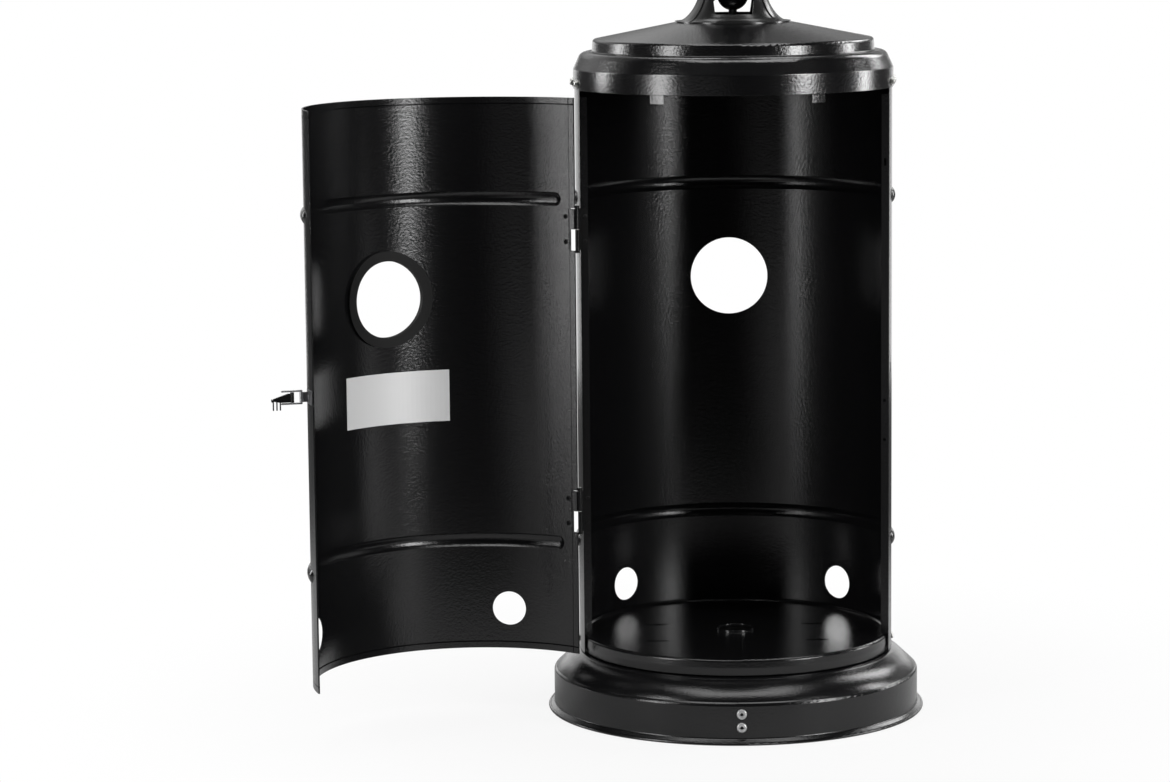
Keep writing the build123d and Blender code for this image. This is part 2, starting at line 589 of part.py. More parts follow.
def make_neck():
    neck = neck_body(0, NECK_FOOT_R)
    ribbed = neck_body(-1.6, NECK_FOOT_R)
    for azimuth in RIB_AZIMUTHS:
        sector = ring(10, 90, CAP_TOP_Z, NECK_TOP_Z - 12, azimuth - 3.5, azimuth + 3.5)
        neck = neck + (ribbed & sector)
    inside = revolve(
        Plane.XZ * make_face(Polyline((0, CAP_TOP_Z - 1), (52.5, CAP_TOP_Z - 1), (52.5, 843.0),
                                      (48.0, 847.0), (40.6, 862.0), (33.8, 879.0), (POST_R - 2.0, 890.5),
                                      (POST_R - 2.0, NECK_TOP_Z + 1), (0, NECK_TOP_Z + 1), close=True)),
        Axis.Z, 360)
    socket = Pos(0, 0, (POST_SEAT_Z + NECK_TOP_Z + 2) / 2) * Cylinder(POST_R + 0.05, NECK_TOP_Z + 2 - POST_SEAT_Z)
    window = make_face(
        Polyline((12.5, 876.0), (24.0, 865.0), (22.3, 849.5), (-22.3, 849.5), (-24.0, 865.0), (-12.5, 876.0))
        + ThreePointArc((-12.5, 876.0), (0, 884.0), (12.5, 876.0)))
    neck = neck - inside - socket - extrude(Plane.XZ * window, 120, both=True)
    for azimuth in POST_SCREW_AZIMUTHS:
        neck = neck - radial_rod(3.05, POST_R - 2, 50, POST_SCREW_Z, azimuth)
    for azimuth in NECK_BOLT_AZIMUTHS:
        blind = Pos(0, -NECK_BOLT_R, CAP_TOP_Z) * Cylinder(2.55, 5.4)
        neck = neck - at_azimuth(blind, azimuth)
    return neck


def make_neck_bolts():
    """Bolts from under the cap into the neck's foot."""
    bolt = Rot(180, 0, 0) * pan_head(4.6, 3.2, 2.5, 3.6)
    under = CAP_TOP_Z - PRESSED_SHEET
    return [at_azimuth(Pos(0, -NECK_BOLT_R, under) * bolt, azimuth) for azimuth in NECK_BOLT_AZIMUTHS]


# Gas riser: a pipe from under the cap up through the neck and the post
RISER_R = 5.0
RISER_BORE_R = 3.5
RISER_LOW_Z = 811.0
RISER_TOP_Z = 1700.0
BALL_Z = 872.0
BALL_R = 19.0
PLATE_R = 27.0


def make_gas_riser():
    length = RISER_TOP_Z - RISER_LOW_Z
    pipe = Cylinder(RISER_R, length) - Cylinder(RISER_BORE_R, length + 2)
    return Pos(0, 0, (RISER_LOW_Z + RISER_TOP_Z) / 2) * pipe


def make_riser_ball():
    ball = Sphere(BALL_R) & Box(60, 60, 2 * BALL_R - 1.2)
    return Pos(0, 0, BALL_Z) * (ball - Cylinder(RISER_R, 60))


def make_riser_washers():
    washer = Cylinder(PLATE_R, 2.0) - Cylinder(RISER_R + 0.05, 6)
    above = Pos(0, 0, CAP_TOP_Z + 1.0) * washer
    return [above, Pos(0, 0, CAP_TOP_Z - PRESSED_SHEET - 1.0) * washer]


def make_riser_nuts():
    nut = hex_nut(17.0, 5.0, RISER_R + 0.02)
    return [Pos(0, 0, CAP_TOP_Z + 2.0) * nut, Pos(0, 0, CAP_TOP_Z - PRESSED_SHEET - 7.0) * nut]


def make_hose_nipple():
    """The brass hose end under the riser: a union nut and a ribbed spigot."""
    nut = Pos(0, 0, 803.0) * extrude(RegularPolygon(9.5, 6, major_radius=False), 14.0)
    spigot = make_face(Polyline((0, 781), (3.4, 781), (4.6, 785), (3.8, 785), (4.8, 789.5), (4.0, 789.5),
                                (5.0, 794), (4.2, 794), (4.2, 803), (0, 803), close=True))
    body = nut + revolve(Plane.XZ * spigot, Axis.Z, 360)
    return body - Pos(0, 0, 799) * Cylinder(2.0, 60) - Pos(0, 0, 814.5) * Cylinder(RISER_R, 7)


# Post and burner bracket
BRACKET_Z = POST_TOP_Z


def make_post():
    length = POST_TOP_Z - POST_SEAT_Z
    post = Cylinder(POST_R, length) - Cylinder(POST_R - 1.5, length + 2)
    return Pos(0, 0, (POST_TOP_Z + POST_SEAT_Z) / 2) * post


def make_post_screws():
    screw = cross_head(5.5, 3.6, 3.0, NECK_TOP_R - POST_R)
    return [radial_screw(screw, NECK_TOP_R, POST_SCREW_Z, azimuth) for azimuth in POST_SCREW_AZIMUTHS]


def make_burner_bracket():
    """The sleeve on the post's top with the plate under the control housing."""
    sleeve = ring(POST_R + 0.05, POST_R + 3, BRACKET_Z - 40, BRACKET_Z)
    plate = ring(RISER_R + 1, 62, BRACKET_Z, BRACKET_Z + 3)
    bracket = sleeve + plate
    for azimuth in HOUSING_SCREW_AZIMUTHS:
        bracket = bracket - at_azimuth(Pos(0, -50, BRACKET_Z) * Cylinder(2.6, 20), azimuth)
    for azimuth in BRACKET_GUSSET_AZIMUTHS:
        root = POST_R + 2
        outline = make_face(Polyline((root, BRACKET_Z + 1), (58, BRACKET_Z + 1), (58, BRACKET_Z - 2),
                                     (POST_R + 5, BRACKET_Z - 32), (root, BRACKET_Z - 32), close=True))
        gusset = extrude(Plane.XZ * outline, 1.5, both=True)
        bracket = bracket + gusset.rotate(Axis.Z, azimuth - 90)
    return bracket


BRACKET_GUSSET_AZIMUTHS = (60.0, 180.0, 300.0)
HOUSING_SCREW_AZIMUTHS = (0.0, 120.0, 240.0)

# Control housing with the gas valve, igniter, tilt switch, knob and button
HOUSING_LOW_Z = BRACKET_Z + 3.0
HOUSING_TOP_Z = HOUSING_LOW_Z + 145.0
CONTROL_Z = HOUSING_LOW_Z + 88.0
BUTTON_AZIMUTH = 34.0
LOUVRES = 14


def make_control_housing():
    half = SHEET / 2
    path = (
        (16.0, HOUSING_LOW_Z + half),
        (62.0, HOUSING_LOW_Z + half),
        (BURNER_R - half, HOUSING_LOW_Z + 42),
        (BURNER_R - half, HOUSING_TOP_Z - 4),
        (BURNER_R - 5, HOUSING_TOP_Z - half),
        (BURNER_R - 12, HOUSING_TOP_Z - half),
    )
    housing = spun_sheet(path, [8.0, 10.0, 3.0, 1.5], SHEET)
    housing = housing - radial_rod(6.0, BURNER_R - 10, BURNER_R + 5, CONTROL_Z)
    housing = housing - radial_rod(7.4, BURNER_R - 10, BURNER_R + 5, CONTROL_Z, BUTTON_AZIMUTH)
    louvre = Pos(0, -BURNER_R, HOUSING_TOP_Z - 22) * Box(5, 20, 22)
    for number in range(LOUVRES):
        housing = housing - at_azimuth(louvre, (number + 0.5) * 360 / LOUVRES)
    for azimuth in HOUSING_SCREW_AZIMUTHS:
        housing = housing - at_azimuth(Pos(0, -50, HOUSING_LOW_Z) * Cylinder(2.6, 20), azimuth)
    return housing


def make_housing_screws():
    screw = cross_head(4.6, 2.8, 2.5, 5.4)
    seat = HOUSING_LOW_Z + SHEET
    return [at_azimuth(Pos(0, -50, seat) * screw, azimuth) for azimuth in HOUSING_SCREW_AZIMUTHS]


VALVE_FRONT_Y = -22.0
SHAFT_R = 4.0
KNOB_GAP = 5.2


def make_gas_valve():
    """The valve's block on top of the riser, with the bore for the knob's shaft."""
    low = RISER_TOP_Z
    body = Pos(0, 0, (low + CONTROL_Z + 20) / 2) * Box(38, 44, CONTROL_Z + 20 - low)
    body = fillet(body.edges().filter_by(Axis.Z), 4)
    inlet = Pos(0, 0, low - 6) * extrude(RegularPolygon(9.5, 6, major_radius=False), 6.0)
    outlet = Pos(0, 0, CONTROL_Z + 24) * Cylinder(7.0, 8.0)
    nose = Pos(0, VALVE_FRONT_Y - 2, CONTROL_Z) * Rot(90, 0, 0) * Cylinder(9.0, 4.0)
    valve = body + inlet + outlet + nose
    valve = valve - Pos(0, -14, CONTROL_Z) * Rot(90, 0, 0) * Cylinder(SHAFT_R + 0.05, 26)
    return valve - Pos(0, 0, low - 3) * Cylinder(RISER_R, 6.01) - Pos(0, 0, CONTROL_Z + 24) * Cylinder(1.5, 20)


def make_valve_shaft():
    shaft_back = -20.0
    shaft_front = -(BURNER_R + 18.0)
    shaft = Rot(90, 0, 0) * Cylinder(SHAFT_R, shaft_back - shaft_front)
    return Pos(0, (shaft_back + shaft_front) / 2, CONTROL_Z) * shaft


def make_thrust_washer():
    washer = Rot(90, 0, 0) * (Cylinder(8.0, 2.0) - Cylinder(SHAFT_R + 0.05, 6))
    return Pos(0, VALVE_FRONT_Y - 10, CONTROL_Z) * washer


def make_control_knob():
    """A fluted knob with a raised pointer bar, bored for the shaft."""
    face = Circle(23.0)
    for number in range(18):
        angle = number * tau / 18
        face = face - Pos(24.2 * cos(angle), 24.2 * sin(angle)) * Circle(2.4)
    grip = extrude(face, 16)
    skirt = Cylinder(27.0, 4.0, align=(Align.CENTER, Align.CENTER, Align.MIN))
    pointer = Pos(0, 10, 18.4) * Box(4.0, 22, 5)
    knob = skirt + Pos(0, 0, 4) * grip + pointer
    knob = knob - Pos(0, 0, 6.4) * Cylinder(SHAFT_R, 12.82)
    return Pos(0, -(BURNER_R + KNOB_GAP), CONTROL_Z) * Rot(90, 0, 0) * knob


BUTTON_TRAVEL = 5.0
BUTTON_R = 7.0


def make_igniter_button():
    cap = pan_head(BUTTON_R, 9.0, 3.0, 10.0)
    return radial_screw(cap, BURNER_R - 1.5, CONTROL_Z, BUTTON_AZIMUTH)


def make_igniter_module():
    """The spark igniter behind the button, held by its flange inside the wall."""
    barrel = radial_rod(11.0, BURNER_R - 46, BURNER_R - 8.5, CONTROL_Z, BUTTON_AZIMUTH)
    flange = radial_rod(14.0, BURNER_R - 8.5, BURNER_R - 2.1, CONTROL_Z, BUTTON_AZIMUTH)
    flange = flange & ring(20, BURNER_R - SHEET, CONTROL_Z - 30, CONTROL_Z + 30)
    well = radial_rod(7.4, BURNER_R - 8.6, BURNER_R, CONTROL_Z, BUTTON_AZIMUTH)
    guide = radial_rod(3.05, BURNER_R - 17, BURNER_R, CONTROL_Z, BUTTON_AZIMUTH)
    return barrel + flange - well - guide


def make_tilt_switch():
    """The ball switch that shuts the gas off when the heater tips."""
    can = Pos(0, 38, HOUSING_LOW_Z + SHEET + 13) * Cylinder(8.0, 26)
    return can + Pos(0, 38, HOUSING_LOW_Z + SHEET + 1) * Box(28, 12, 2)


# Burner
PLATE_Z = HOUSING_TOP_Z
SCREEN_R = 88.0
SCREEN_TOP_Z = PLATE_Z + 232.0
SCREEN_COLUMNS = 20
SCREEN_ROWS = 5


def make_venturi_tube():
    low = CONTROL_Z + 28
    tube = ring(7.1, 12, low - 8, PLATE_Z + 1.5)
    ports = Pos(0, 0, low + 2) * (Box(60, 6, 9) + Box(6, 60, 9))
    return tube - ports


def make_burner_plate():
    plate = ring(12.05, BURNER_R - 2, PLATE_Z, PLATE_Z + 1.5)
    rim = ring(SCREEN_R + 0.05, SCREEN_R + 1.2, PLATE_Z + 1.5, PLATE_Z + 12)
    return plate + rim


def make_burner_head():
    """The round burner head: a drum with a ring of flame ports."""
    half = 0.75
    path = ((14, PLATE_Z + 1.5 + half), (58, PLATE_Z + 1.5 + half), (58, PLATE_Z + 30), (10, PLATE_Z + 44), (0.0, PLATE_Z + 44))
    section = FilletPolyline(*path[:4], radius=[4, 6])
    face = make_face(offset(section, amount=half, side=Side.BOTH, kind=Kind.ARC))
    drum = revolve(Plane.XZ * face, Axis.Z, 360)
    drum = drum + Pos(0, 0, PLATE_Z + 44) * Cylinder(12, 1.5)
    port = Pos(0, -58, PLATE_Z + 16) * Box(2.5, 8, 14)
    for number in range(16):
        drum = drum - at_azimuth(port, number * 360 / 16)
    return drum


def make_pilot_bracket():
    """A bent bracket that holds the sensor and the spark electrode by the burner."""
    foot = Pos(0, -72, PLATE_Z + 2.25) * Box(34, 14, 1.5)
    wall = Pos(0, -65.75, PLATE_Z + 17) * Box(34, 1.5, 28)
    return foot + wall


def make_thermocouple():
    rod = Pos(-9, -69.5, PLATE_Z + 26) * Cylinder(3.0, 46)
    return rod + Pos(-9, -69.5, PLATE_Z + 20) * Cylinder(3.0, 10)


def make_spark_electrode():
    insulator = Pos(9, -69.5, PLATE_Z + 20) * Cylinder(3.0, 34)
    return insulator + Pos(9, -69.5, PLATE_Z + 44) * Cylinder(1.0, 16)


def make_emitter_screen():
    """The slotted steel screen that glows round the burner."""
    screen = ring(SCREEN_R - 0.8, SCREEN_R, PLATE_Z + 1.5, SCREEN_TOP_Z)
    pitch = (SCREEN_TOP_Z - PLATE_Z - 46) / SCREEN_ROWS
    cutter = Box(9, 2 * SCREEN_R + 20, pitch - 8)
    for row in range(SCREEN_ROWS):
        height = PLATE_Z + 34 + (row + 0.5) * pitch
        for column in range(SCREEN_COLUMNS // 2):
            screen = screen - Pos(0, 0, height) * cutter.rotate(Axis.Z, column * 360 / SCREEN_COLUMNS)
    return screen


def make_emitter_top():
    """The dished lid on the screen, with three tapped bosses."""
    lid = spun_sheet(((SCREEN_R + 1.4, SCREEN_TOP_Z - 12), (SCREEN_R + 1.4, SCREEN_TOP_Z + 0.6), (70, SCREEN_TOP_Z + 6),
                      (0.7, SCREEN_TOP_Z + 6)), [2.5, 8.0], 1.2)
    lid = lid + Pos(0, 0, SCREEN_TOP_Z + 6) * Cylinder(2.0, 1.2)
    for azimuth in STUD_AZIMUTHS:
        boss = Pos(0, -STUD_PCD_R, SCREEN_TOP_Z + 8.6) * Cylinder(8.0, 4.0)
        hole = Pos(0, -STUD_PCD_R, SCREEN_TOP_Z + 6) * Cylinder(STUD_R, 30)
        lid = lid + at_azimuth(boss, azimuth) - at_azimuth(hole, azimuth)
    return lid


STUD_AZIMUTHS = (0.0, 120.0, 240.0)
STUD_PCD_R = 58.0
STUD_R = 4.0
DISH_TOP_Z = SCREEN_TOP_Z + 112.0


def make_reflector_studs():
    """Shouldered studs between the burner and the reflector."""
    low = SCREEN_TOP_Z + 4.0
    top = DISH_TOP_Z + 8.0
    studs = []
    for azimuth in STUD_AZIMUTHS:
        stud = Pos(0, -STUD_PCD_R, (low + top) / 2) * Cylinder(STUD_R, top - low)
        shoulder_low = SCREEN_TOP_Z + 10.6
        sleeve = Pos(0, -STUD_PCD_R, (shoulder_low + DISH_TOP_Z) / 2) * Cylinder(7.0, DISH_TOP_Z - shoulder_low)
        studs.append(at_azimuth(stud + sleeve, azimuth))
    return studs


def make_reflector():
    """The spun aluminium dish: flat middle, two steps and a rolled rim."""
    half = 0.5
    top = DISH_TOP_Z + half
    path = ((6.0, top), (108.0, top), (118.0, top - 7), (232.0, top - 25), (240.0, top - 32), (374.0, top - 66),
            (REFLECTOR_R - 2, top - 84), (REFLECTOR_R - 2, top - 92))
    dish = spun_sheet(path, [5.0, 5.0, 4.0, 4.0, 14.0, 6.0], 1.0)
    dish = dish + Pos(0, 0, top - 92) * Torus(REFLECTOR_R - 2.5, 2.4)
    for azimuth in STUD_AZIMUTHS:
        dish = dish - at_azimuth(Pos(0, -STUD_PCD_R, DISH_TOP_Z) * Cylinder(STUD_R + 0.3, 20), azimuth)
    return dish


def make_reflector_nuts():
    """Domed nuts on the studs, over the dish."""
    nuts = []
    seat = DISH_TOP_Z + 1.0
    for azimuth in STUD_AZIMUTHS:
        hexagon = extrude(RegularPolygon(6.5, 6, major_radius=False), 6.0)
        dome = Pos(0, 0, 6.0) * (Sphere(6.0) & Pos(0, 0, 4) * Box(20, 20, 8))
        nut = hexagon + dome - Pos(0, 0, 3.55) * Cylinder(STUD_R, 7.1)
        nuts.append(at_azimuth(Pos(0, -STUD_PCD_R, seat) * nut, azimuth))
    return nuts


PIECES = {
    "base_shell": make_base_shell,
    "floor_pan": make_floor_pan,
    "floor_support_bar": make_floor_support_bar,
    "skirt_screws": make_skirt_screws,
    "skirt_nuts": make_skirt_nuts,
    "rear_shell": make_rear_shell,
    "shell_screws": make_shell_screws,
    "jamb_hinge_leaves": make_jamb_hinge_leaves,
    "jamb_rivets": make_jamb_rivets,
    "hinge_pins": make_hinge_pins,
    "door_shell": make_door_shell,
    "door_hinge_leaves": make_door_hinge_leaves,
    "door_rivets": make_door_rivets,
    "window_trim": make_window_trim,
    "latch_base": make_latch_base,
    "latch_rivets": make_latch_rivets,
    "latch_bail": make_latch_bail,
    "latch_lever": make_latch_lever,
    "cap": make_cap,
    "cap_screws": make_cap_screws,
    "cap_washers": make_cap_washers,
    "neck": make_neck,
    "neck_bolts": make_neck_bolts,
    "gas_riser": make_gas_riser,
    "riser_ball": make_riser_ball,
    "riser_washers": make_riser_washers,
    "riser_nuts": make_riser_nuts,
    "hose_nipple": make_hose_nipple,
    "post": make_post,
    "post_screws": make_post_screws,
    "burner_bracket": make_burner_bracket,
    "control_housing": make_control_housing,
    "housing_screws": make_housing_screws,
    "gas_valve": make_gas_valve,
    "valve_shaft": make_valve_shaft,
    "thrust_washer": make_thrust_washer,
    "control_knob": make_control_knob,
    "igniter_button": make_igniter_button,
    "igniter_module": make_igniter_module,
    "tilt_switch": make_tilt_switch,
    "venturi_tube": make_venturi_tube,
    "burner_plate": make_burner_plate,
    "burner_head": make_burner_head,
    "pilot_bracket": make_pilot_bracket,
    "thermocouple": make_thermocouple,
    "spark_electrode": make_spark_electrode,
    "emitter_screen": make_emitter_screen,
    "emitter_top": make_emitter_top,
    "reflector_studs": make_reflector_studs,
    "reflector": make_reflector,
    "reflector_nuts": make_reflector_nuts,
}


def main():
    os.makedirs("parts", exist_ok=True)
    for name, make in PIECES.items():
        made = make()
        solids = made if isinstance(made, list) else [made]
        part = Compound(children=[solid for piece in solids for solid in piece.solids()])
        part.label = name
        export_step(part, os.path.join("parts", name + ".step"))


main()
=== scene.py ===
from math import cos, radians, sin

import bpy
from mathutils import Matrix, Vector


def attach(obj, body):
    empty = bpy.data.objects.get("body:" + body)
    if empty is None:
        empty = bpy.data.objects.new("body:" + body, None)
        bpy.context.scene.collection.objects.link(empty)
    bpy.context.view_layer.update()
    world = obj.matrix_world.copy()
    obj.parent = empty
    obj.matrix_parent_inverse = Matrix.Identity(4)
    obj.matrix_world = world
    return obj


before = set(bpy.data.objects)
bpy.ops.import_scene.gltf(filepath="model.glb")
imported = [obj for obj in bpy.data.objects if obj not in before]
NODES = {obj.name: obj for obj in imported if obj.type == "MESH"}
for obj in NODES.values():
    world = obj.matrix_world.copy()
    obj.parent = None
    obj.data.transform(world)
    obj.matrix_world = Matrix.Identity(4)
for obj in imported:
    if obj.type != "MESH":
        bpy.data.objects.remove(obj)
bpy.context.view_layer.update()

MM = 0.001

# The heater's own sizes, in millimetres and degrees; an azimuth is 0 at the front and grows to the right
HOUSING_R = 192.0
WALL_SHEET = 1.0
DOOR_OPEN_ANGLE = 144.3
HINGE_AZIMUTH = -74.8
HINGE_PIN_R = 196.2


def wall_point(radius, azimuth, height):
    """A point on a round wall, in metres."""
    angle = radians(azimuth)
    return Vector((radius * sin(angle), -radius * cos(angle), height)) * MM


def door_swing():
    """The turn that takes a piece of the closed door to the open one."""
    pin = wall_point(HINGE_PIN_R, HINGE_AZIMUTH, 0.0)
    turn = Matrix.Rotation(radians(-DOOR_OPEN_ANGLE), 4, "Z")
    return Matrix.Translation(pin) @ turn @ Matrix.Translation(-pin)


class Graph:
    """A node tree, with the kinds of node that the heater and its studio use."""

    def __init__(self, tree):
        self.nodes = tree.nodes
        self.links = tree.links

    def add(self, kind, **settings):
        node = self.nodes.new(kind)
        for name, value in settings.items():
            setattr(node, name, value)
        return node

    def feed(self, socket, value):
        """Link an output to a socket, or write a plain value into it."""
        if isinstance(value, bpy.types.NodeSocket):
            self.links.new(value, socket)
        else:
            socket.default_value = value

    def feed_all(self, node, **values):
        """Feed sockets by name, where an underscore stands for a space."""
        for name, value in values.items():
            self.feed(node.inputs[name.replace("_", " ")], value)

    def math(self, operation, *values):
        node = self.add("ShaderNodeMath", operation=operation)
        for socket, value in zip(node.inputs, values):
            self.feed(socket, value)
        return node.outputs["Value"]

    def vector(self, operation, *values, output="Vector"):
        node = self.add("ShaderNodeVectorMath", operation=operation)
        for socket, value in zip(node.inputs, values):
            self.feed(socket, value)
        return node.outputs[output]

    def scaled(self, vector, scale):
        node = self.add("ShaderNodeVectorMath", operation="SCALE")
        self.feed_all(node, Vector=vector, Scale=scale)
        return node.outputs["Vector"]

    def turned(self, vector, angle):
        """A vector turned about the upright axis."""
        node = self.add("ShaderNodeVectorRotate", rotation_type="Z_AXIS")
        self.feed_all(node, Vector=vector, Angle=angle)
        return node.outputs["Vector"]

    def ramp(self, value, span, ends=(0.0, 1.0), kind="SMOOTHSTEP"):
        """A value's place in a span, written as a number between the two ends."""
        node = self.add("ShaderNodeMapRange", interpolation_type=kind)
        self.feed_all(node, Value=value, From_Min=span[0], From_Max=span[1], To_Min=ends[0], To_Max=ends[1])
        return node.outputs["Result"]

    def mixed(self, data_type, share, first, second):
        node = self.add("ShaderNodeMix", data_type=data_type)
        self.feed_all(node, Factor=share, A=first, B=second)
        return node.outputs["Result"]

    def place(self, kind="Object"):
        return self.add("ShaderNodeTexCoord").outputs[kind]

    def normal(self):
        return self.add("ShaderNodeNewGeometry").outputs["Normal"]

    def axes(self, vector):
        node = self.add("ShaderNodeSeparateXYZ")
        self.feed_all(node, Vector=vector)
        return node.outputs["X"], node.outputs["Y"], node.outputs["Z"]

    def seen_rays(self):
        """Camera rays, and the mirror and glass rays that show the background too."""
        path = self.add("ShaderNodeLightPath").outputs
        mirrored = self.math("MAXIMUM", path["Is Glossy Ray"], path["Is Transmission Ray"])
        return path["Is Camera Ray"], mirrored


# Finishes: one function for each family of surface on the heater
def finish(name, colour, roughness, metallic=0.0, specular=0.5):
    material = bpy.data.materials.new(name)
    material.use_nodes = True
    graph = Graph(material.node_tree)
    graph.nodes.clear()
    output = graph.add("ShaderNodeOutputMaterial", name="Material Output")
    shader = graph.add("ShaderNodeBsdfPrincipled", name="Principled BSDF")
    graph.feed_all(shader, Base_Color=(*colour, 1.0), Roughness=roughness, Metallic=metallic,
                   Specular_IOR_Level=specular)
    graph.feed_all(output, Surface=shader.outputs["BSDF"])
    return material


def bare_metal(name, colour, roughness):
    return finish(name, colour, roughness, metallic=1.0)


POWDER_BLACK = (0.004, 0.004, 0.0043)
GRAIN_SCALE = 330.0
GRAIN_DETAIL = 3.0
GRAIN_ROUGHNESS = 0.6


def powder_coat(name, roughness, grain_depth, specular=0.5):
    """Baked black powder paint: a dark body under a pebbled satin skin."""
    material = finish(name, POWDER_BLACK, roughness, specular=specular)
    graph = Graph(material.node_tree)
    pebble = graph.add("ShaderNodeTexNoise")
    graph.feed_all(pebble, Vector=graph.place(), Scale=GRAIN_SCALE, Detail=GRAIN_DETAIL,
                   Roughness=GRAIN_ROUGHNESS)
    bump = graph.add("ShaderNodeBump", name="Bump")
    graph.feed_all(bump, Strength=1.0, Distance=grain_depth, Height=pebble.outputs["Fac"])
    graph.feed_all(graph.nodes["Principled BSDF"], Normal=bump.outputs["Normal"])
    return material


# The door hangs a little askew, and its sheet runs flat in a margin beside the hinges, in degrees
DOOR_SHEEN_TURN = 2.75
FLAT_MARGIN_START = -62.0
FLAT_MARGIN_END = -75.0

# The folded hems of the door end on its sheet in narrow gaps, whose shade is painted as a dulled shine, in
# metres and degrees
HEM_LINE_HEIGHTS = (0.7446, 0.0828)
HEM_LINE_HALF = 0.0008
HEM_LINE_AZIMUTH = -72.45
HEM_LINE_HALF_ANGLE = 0.22
SHEET_SHINE = 0.5
HEM_GAP_SHADE_SHINE = 0.05


def paint_hem_gap_shade(graph, azimuth, height):
    """Paint shade into the gaps of the hems, as a dulled shine."""
    in_shaded_gap = graph.math("COMPARE", azimuth, radians(HEM_LINE_AZIMUTH), radians(HEM_LINE_HALF_ANGLE))
    for line in HEM_LINE_HEIGHTS:
        in_shaded_gap = graph.math("MAXIMUM", in_shaded_gap, graph.math("COMPARE", height, line, HEM_LINE_HALF))
    # Painted shade: the shine drops in the hem gaps, so they read as dark lines
    shine = graph.ramp(in_shaded_gap, (0.0, 1.0), (SHEET_SHINE, HEM_GAP_SHADE_SHINE), "LINEAR")
    graph.feed_all(graph.nodes["Principled BSDF"], Specular_IOR_Level=shine)


def hang_door(material):
    """Shade the door's sheet as it hangs, with its flat margin, and with painted shade in the seams of its
    hems.
    """
    graph = Graph(material.node_tree)
    housing_axis = door_swing() @ Vector((0.0, 0.0, 0.0))
    place = graph.place()
    closed = graph.turned(graph.vector("SUBTRACT", place, housing_axis), radians(DOOR_OPEN_ANGLE))
    right, back, _ = graph.axes(closed)
    azimuth = graph.math("ARCTAN2", right, graph.math("MULTIPLY", back, -1.0))
    paint_hem_gap_shade(graph, azimuth, graph.axes(place)[2])
    flat_turn = FLAT_MARGIN_START - FLAT_MARGIN_END + DOOR_SHEEN_TURN
    turn = graph.ramp(azimuth, (radians(FLAT_MARGIN_END), radians(FLAT_MARGIN_START)),
                      (radians(flat_turn), radians(DOOR_SHEEN_TURN)), "LINEAR")
    graph.feed_all(graph.nodes["Bump"], Normal=graph.turned(graph.normal(), turn))


# The round shoulder of the base, from the top of its skirt to its upstand, in metres and degrees
SHOULDER_HEIGHTS = (0.050, 0.0715)
SHOULDER_TILTS = (28.0, 72.0)
FACING_UP = 0.05


def round_the_shoulder(material):
    """Shade the base's shoulder as a full round."""
    graph = Graph(material.node_tree)
    place = graph.place()
    height = graph.axes(place)[2]
    tilts = [radians(angle) for angle in SHOULDER_TILTS]
    tilt = graph.ramp(height, SHOULDER_HEIGHTS, tilts, "LINEAR")
    outward = graph.vector("NORMALIZE", graph.vector("MULTIPLY", place, (1.0, 1.0, 0.0)))
    rise = graph.add("ShaderNodeCombineXYZ")
    graph.feed_all(rise, Z=graph.math("SINE", tilt))
    rounded = graph.vector("ADD", graph.scaled(outward, graph.math("COSINE", tilt)), rise.outputs["Vector"])
    above = graph.math("GREATER_THAN", height, SHOULDER_HEIGHTS[0])
    below = graph.math("LESS_THAN", height, SHOULDER_HEIGHTS[1])
    normal = graph.normal()
    upper_face = graph.math("GREATER_THAN", graph.axes(normal)[2], FACING_UP)
    share = graph.math("MULTIPLY", graph.math("MULTIPLY", above, below), upper_face)
    graph.feed_all(graph.nodes["Bump"], Normal=graph.mixed("VECTOR", share, normal, rounded))


# The two screws in the skirt sit one above the other, this far from the middle between them, in metres
SKIRT_SCREW_MIDDLE = 0.0285
SKIRT_SCREW_OFFSET = 0.008
# Painted shade: the zinc turns dark in the middle of each head, where its recess is shaded
RECESS_SPAN = (0.00176, 0.0022)
RECESS_SHADE_GREY = 0.02
ZINC_GREY = 0.62


def paint_recess_shade(material):
    """Paint shade into the recess in the middle of the skirt's screw heads, as a darker zinc colour."""
    graph = Graph(material.node_tree)
    right, _, height = graph.axes(graph.place())
    from_middle = graph.math("ABSOLUTE", graph.math("SUBTRACT", height, SKIRT_SCREW_MIDDLE))
    from_screw = graph.math("SUBTRACT", from_middle, SKIRT_SCREW_OFFSET)
    squares = [graph.math("MULTIPLY", side, side) for side in (right, from_screw)]
    reach = graph.math("SQRT", graph.math("ADD", *squares))
    recess_shade_grey = graph.ramp(reach, RECESS_SPAN, (RECESS_SHADE_GREY, ZINC_GREY))
    graph.feed_all(graph.nodes["Principled BSDF"], Base_Color=recess_shade_grey)


black_cap = powder_coat("black_cap_powder", roughness=0.17, grain_depth=0.00026, specular=0.8)
black_base = powder_coat("black_base_powder", roughness=0.20, grain_depth=0.00026)
round_the_shoulder(black_base)
black_satin = powder_coat("black_satin_powder", roughness=0.19, grain_depth=0.00024)
black_door = powder_coat("black_door_powder", roughness=0.19, grain_depth=0.00027)
hang_door(black_door)
black_plain = finish("black_plain_paint", (0.004, 0.004, 0.004), 0.25, specular=0.3)
zinc = bare_metal("bright_zinc", (0.62, 0.62, 0.60), 0.32)
screw_zinc = bare_metal("skirt_screw_zinc", (0.62, 0.62, 0.60), 0.32)
paint_recess_shade(screw_zinc)
latch_steel = bare_metal("dull_latch_steel", (0.30, 0.30, 0.31), 0.35)
chrome = bare_metal("chrome_plate", (0.78, 0.78, 0.78), 0.12)
steel = bare_metal("brushed_steel", (0.45, 0.45, 0.46), 0.40)
aluminium = bare_metal("spun_aluminium", (0.42, 0.42, 0.43), 0.55)
brass = bare_metal("turned_brass", (0.65, 0.48, 0.22), 0.3)
casting = finish("painted_casting", (0.012, 0.012, 0.012), 0.22)
rubber = finish("black_rubber", (0.005, 0.005, 0.005), 0.6, specular=0.25)
plastic = finish("black_plastic", (0.015, 0.015, 0.015), 0.4)
ceramic = finish("white_ceramic", (0.8, 0.78, 0.72), 0.25)

